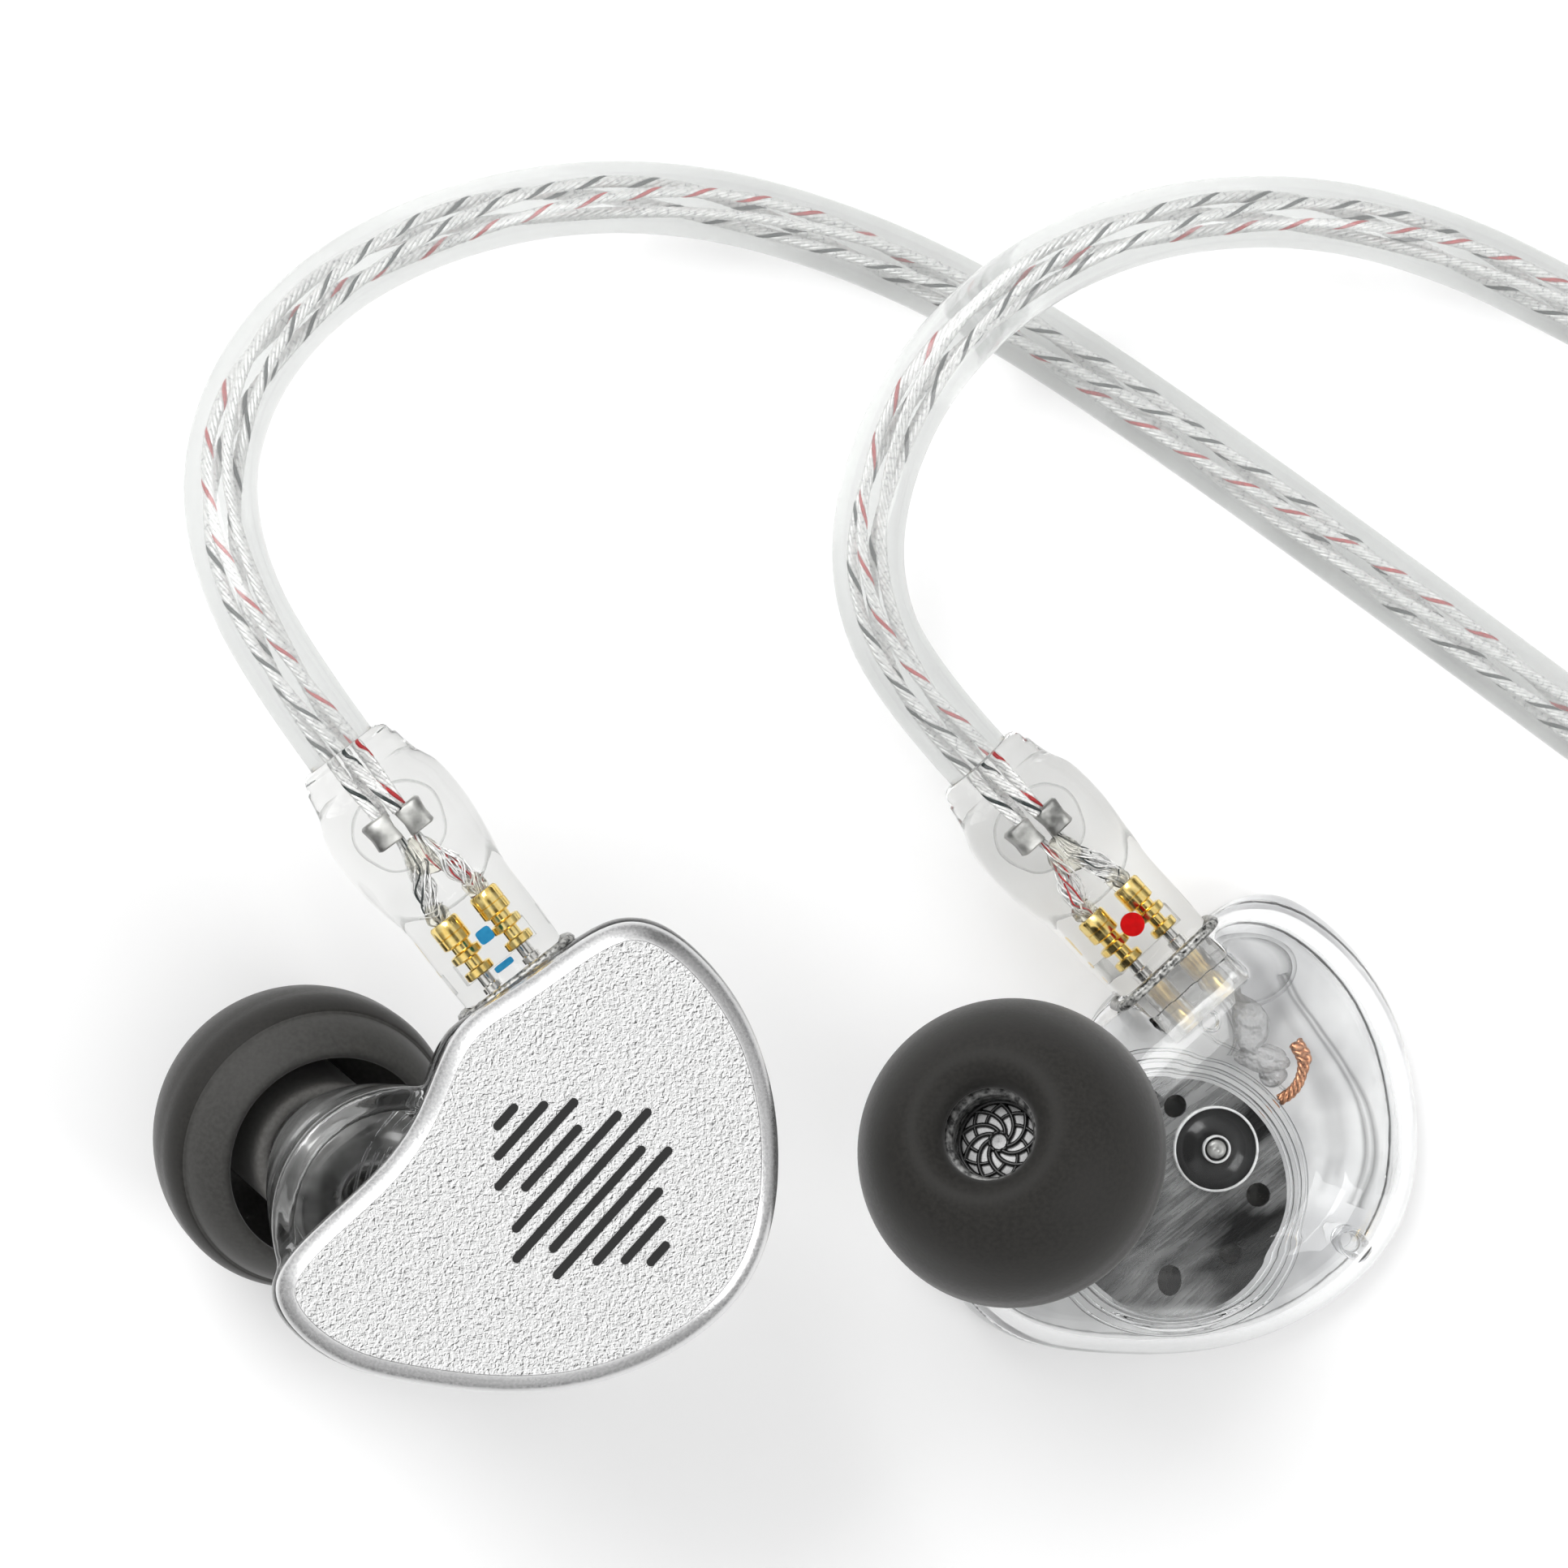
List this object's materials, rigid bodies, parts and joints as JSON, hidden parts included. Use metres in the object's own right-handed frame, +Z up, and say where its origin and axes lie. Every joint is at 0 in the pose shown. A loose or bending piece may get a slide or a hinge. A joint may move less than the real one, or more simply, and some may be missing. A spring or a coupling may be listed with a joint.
{
  "type": "in ear monitors",
  "caption": "Pair of in ear monitors: clear shells with metal faceplates and grey ear tips, 2-pin plugs in clear ear hooks, and a cable with splitter, chin slider and 3.5 mm jack.",
  "frame": {"origin": "centre of the footprint of the two earpieces and ear hooks, on the surface they lie on (the free cable is left out)", "axes": "+Z up from the surface; +X from the left earpiece to the right one, towards the cable; +Y towards the top of the ear hooks"},
  "size_m": [0.1348, 0.0706, 0.0196],
  "materials": {
    "faceplate_metal": "blasted face with a polished rim",
    "shell_resin": "clear polished resin",
    "filter_steel": "etched steel",
    "tip_silicone": "matt dark grey silicone",
    "driver_steel": "turned steel",
    "seat_acrylic": "clear acrylic",
    "magnet_steel": "ground steel",
    "membrane_film": "thin polymer film",
    "coil_copper": "enamelled copper",
    "port_black": "black, satin",
    "socket_plastic": "translucent plastic",
    "contact_gold": "gold plated",
    "plug_clear": "clear moulded plastic",
    "strand_silver": "silver plated strands with red and dark tracers",
    "crimp_steel": "satin",
    "hook_clear": "clear heat-shrunk tube",
    "cord_jacket": "clear jacket over silver strands",
    "tie_strap": "soft strap",
    "splitter_metal": "fine turned",
    "relief_rubber": "soft matt",
    "insulator_black": "moulded",
    "marker_blue": "moulded",
    "marker_red": "moulded"
  },
  "bodies": {
    "cable": {"left_plug_housing": "plug_clear", "left_plug_carrier": "plug_clear", "left_plug_contacts": "contact_gold", "left_plug_wires": "strand_silver", "left_plug_crimp": "crimp_steel", "left_channel_marker": "marker_blue", "left_ear_hook": "hook_clear", "left_hook_core": "strand_silver", "left_lead": "cord_jacket", "left_lead_coil": "cord_jacket", "right_plug_housing": "plug_clear", "right_plug_carrier": "plug_clear", "right_plug_contacts": "contact_gold", "right_plug_wires": "strand_silver", "right_plug_crimp": "crimp_steel", "right_channel_marker": "marker_red", "right_ear_hook": "hook_clear", "right_hook_core": "strand_silver", "right_lead": "cord_jacket", "right_lead_coil": "cord_jacket", "main_cord": "cord_jacket", "main_cord_coil": "cord_jacket", "coil_ties": "tie_strap", "y_splitter": "splitter_metal", "jack_relief": "relief_rubber", "jack_housing": "splitter_metal", "jack_sleeve": "contact_gold", "jack_insulators": "insulator_black", "jack_ring": "contact_gold", "jack_tip": "contact_gold"},
    "chin_slider": {"chin_slider": "plug_clear"},
    "left_earpiece": {"left_faceplate": "faceplate_metal", "left_shell": "shell_resin", "left_nozzle_filter": "filter_steel", "left_driver_frame": "driver_steel", "left_driver_seat": "seat_acrylic", "left_magnet_cup": "magnet_steel", "left_vent_port": "port_black", "left_socket_body": "socket_plastic", "left_socket_contacts": "contact_gold", "left_driver_wires": "coil_copper"},
    "left_membrane": {"left_diaphragm": "membrane_film", "left_voice_coil": "coil_copper"},
    "left_tip": {"left_ear_tip": "tip_silicone"},
    "right_earpiece": {"right_faceplate": "faceplate_metal", "right_shell": "shell_resin", "right_nozzle_filter": "filter_steel", "right_driver_frame": "driver_steel", "right_driver_seat": "seat_acrylic", "right_magnet_cup": "magnet_steel", "right_vent_port": "port_black", "right_socket_body": "socket_plastic", "right_socket_contacts": "contact_gold", "right_driver_wires": "coil_copper"},
    "right_membrane": {"right_diaphragm": "membrane_film", "right_voice_coil": "coil_copper"},
    "right_tip": {"right_ear_tip": "tip_silicone"}
  },
  "joints": [
    {"name": "left_unplug", "type": "slide", "parent": "cable", "child": "left_earpiece", "axis": [0.6088, -0.7934, 0], "range_m": [0, 0.006]},
    {"name": "left_tip_pull", "type": "slide", "parent": "left_earpiece", "child": "left_tip", "axis": [-0.3116, 0.2614, -0.9135], "range_m": [0, 0.0065]},
    {"name": "left_membrane_travel", "type": "slide", "parent": "left_earpiece", "child": "left_membrane", "axis": [0, 0, -1], "range_m": [-0.0002, 0.0002], "stiffness_N_per_m": 300},
    {"name": "right_unplug", "type": "slide", "parent": "cable", "child": "right_earpiece", "axis": [0.6794, -0.7337, 0], "range_m": [0, 0.006]},
    {"name": "right_tip_pull", "type": "slide", "parent": "right_earpiece", "child": "right_tip", "axis": [-0.3344, 0.2315, 0.9135], "range_m": [0, 0.0065]},
    {"name": "right_membrane_travel", "type": "slide", "parent": "right_earpiece", "child": "right_membrane", "axis": [0, 0, 1], "range_m": [-0.0002, 0.0002], "stiffness_N_per_m": 300},
    {"name": "chin_slide", "type": "slide", "parent": "cable", "child": "chin_slider", "axis": [-1, 0, 0], "range_m": [0, 0.007]}
  ]
}
